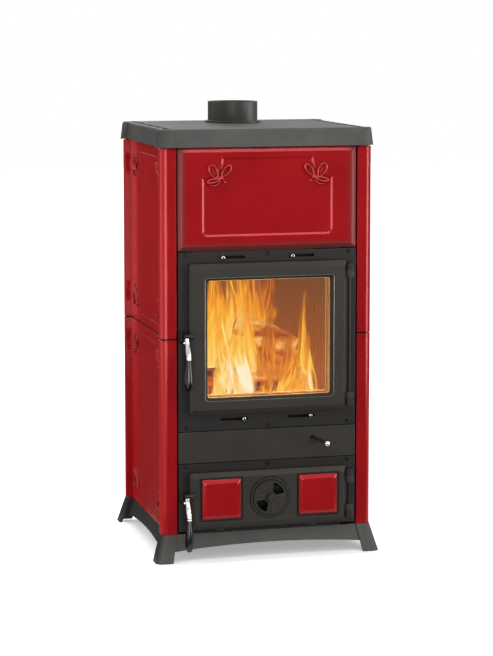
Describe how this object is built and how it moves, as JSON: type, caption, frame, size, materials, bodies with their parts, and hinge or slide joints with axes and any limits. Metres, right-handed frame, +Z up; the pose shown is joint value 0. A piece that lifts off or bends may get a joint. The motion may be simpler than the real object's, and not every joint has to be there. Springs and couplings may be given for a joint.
{
  "type": "wood stove",
  "caption": "Tall free-standing cast iron wood stove with enamelled sides, glazed fire door, ash door with air register, sliding ash pan, shaking grate and top flue collar.",
  "frame": {"origin": "on the floor, under the middle of the whole stove's bounds, its handles included, which is 21 mm in front of the middle of its body", "axes": "+Z up; the doors face -Y; +X is to the right for someone who faces the doors, the side the doors hinge on"},
  "size_m": [0.578, 0.5521, 1.127],
  "materials": {
    "red_enamel": "glossy deep red enamel on cast iron",
    "front_iron": "matt black painted, fine sand texture",
    "lid_iron": "satin dark grey paint",
    "base_iron": "satin dark grey paint",
    "flue_enamel": "matt black",
    "carcass_steel": "black painted sheet",
    "chamber_iron": "raw, sooted",
    "refractory": "ribbed sand coloured lining",
    "rope": "woven glass fibre",
    "glass": "clear heat proof pane",
    "chrome": "polished",
    "grip": "black, glossy",
    "zinc_steel": "zinc plated",
    "slide_steel": "dull",
    "pan_steel": "galvanised"
  },
  "bodies": {
    "stove_body": {"corner_feet": "base_iron", "base_skirts": "base_iron", "left_lower_side": "red_enamel", "right_lower_side": "red_enamel", "left_upper_side": "red_enamel", "right_upper_side": "red_enamel", "top_plate": "lid_iron", "flue_collar": "flue_enamel", "carcass_floor": "carcass_steel", "carcass_left_wall": "carcass_steel", "carcass_right_wall": "carcass_steel", "carcass_rear_wall": "carcass_steel", "carcass_front_wall": "carcass_steel", "carcass_roof": "carcass_steel", "rear_sheet": "carcass_steel", "hearth_plate": "chamber_iron", "left_lining": "refractory", "right_lining": "refractory", "rear_lining": "refractory", "smoke_baffle": "refractory", "upper_front_panel": "red_enamel", "fire_plate": "front_iron", "middle_plate": "front_iron", "ash_plate": "front_iron", "front_screws": "zinc_steel", "fire_hinge_pin": "zinc_steel", "ash_hinge_pin": "zinc_steel", "pan_rails": "carcass_steel", "upper_slide_guides": "slide_steel", "lower_slide_guides": "slide_steel"},
    "cooking_plate": {"cooking_plate": "lid_iron"},
    "fire_door": {"fire_door": "front_iron", "door_glass": "glass", "glass_tape": "rope", "glass_clips": "zinc_steel", "glass_clip_screws": "zinc_steel", "fire_door_rope": "rope", "fire_handle_pin": "zinc_steel"},
    "fire_handle": {"fire_handle_lever": "chrome", "fire_handle_grip": "grip"},
    "ash_door": {"ash_door": "front_iron", "ash_door_rope": "rope", "ash_handle_pin": "zinc_steel", "left_tile": "red_enamel", "right_tile": "red_enamel"},
    "ash_handle": {"ash_handle_lever": "chrome", "ash_handle_grip": "grip"},
    "air_register": {"air_register": "front_iron", "register_knob": "front_iron", "register_spindle": "zinc_steel"},
    "ash_pan": {"ash_pan": "pan_steel", "ash_pan_pull": "pan_steel"},
    "upper_air_slide": {"upper_air_slide": "slide_steel", "upper_slide_knobs": "slide_steel"},
    "lower_air_slide": {"lower_air_slide": "slide_steel", "lower_slide_knobs": "slide_steel"},
    "grate_shaker": {"grate": "chamber_iron", "shaker_link": "chamber_iron", "shaker_rod": "chrome", "shaker_ball": "chrome"}
  },
  "joints": [
    {"name": "cooking_plate_lift", "type": "slide", "parent": "stove_body", "child": "cooking_plate", "axis": [0, 0, 1], "range_m": [0, 0.05]},
    {"name": "fire_door_hinge", "type": "hinge", "parent": "stove_body", "child": "fire_door", "pos_m": [0.208, -0.229, 0.5555], "axis": [0, 0, 1], "range_deg": [0, 110]},
    {"name": "fire_handle_turn", "type": "hinge", "parent": "fire_door", "child": "fire_handle", "pos_m": [-0.213, -0.237, 0.566], "axis": [-1, 0, 0], "range_deg": [0, 85]},
    {"name": "ash_door_hinge", "type": "hinge", "parent": "stove_body", "child": "ash_door", "pos_m": [0.208, -0.229, 0.1535], "axis": [0, 0, 1], "range_deg": [0, 110]},
    {"name": "ash_handle_turn", "type": "hinge", "parent": "ash_door", "child": "ash_handle", "pos_m": [-0.213, -0.237, 0.168], "axis": [-1, 0, 0], "range_deg": [0, 85]},
    {"name": "air_register_turn", "type": "hinge", "parent": "ash_door", "child": "air_register", "pos_m": [0, -0.2385, 0.155], "axis": [0, 1, 0], "range_deg": [0, 90]},
    {"name": "ash_pan_slide", "type": "slide", "parent": "stove_body", "child": "ash_pan", "axis": [0, -1, 0], "range_m": [0, 0.1728]},
    {"name": "upper_air_slide_travel", "type": "slide", "parent": "stove_body", "child": "upper_air_slide", "axis": [1, 0, 0], "range_m": [0, 0.05]},
    {"name": "lower_air_slide_travel", "type": "slide", "parent": "stove_body", "child": "lower_air_slide", "axis": [-1, 0, 0], "range_m": [0, 0.05]},
    {"name": "grate_shaker_pull", "type": "slide", "parent": "stove_body", "child": "grate_shaker", "axis": [0, -1, 0], "range_m": [0, 0.03]}
  ],
  "couplings": [
    {"joint": "ash_pan_slide", "follows": "ash_door_hinge", "m_per_rad": 0.09}
  ]
}
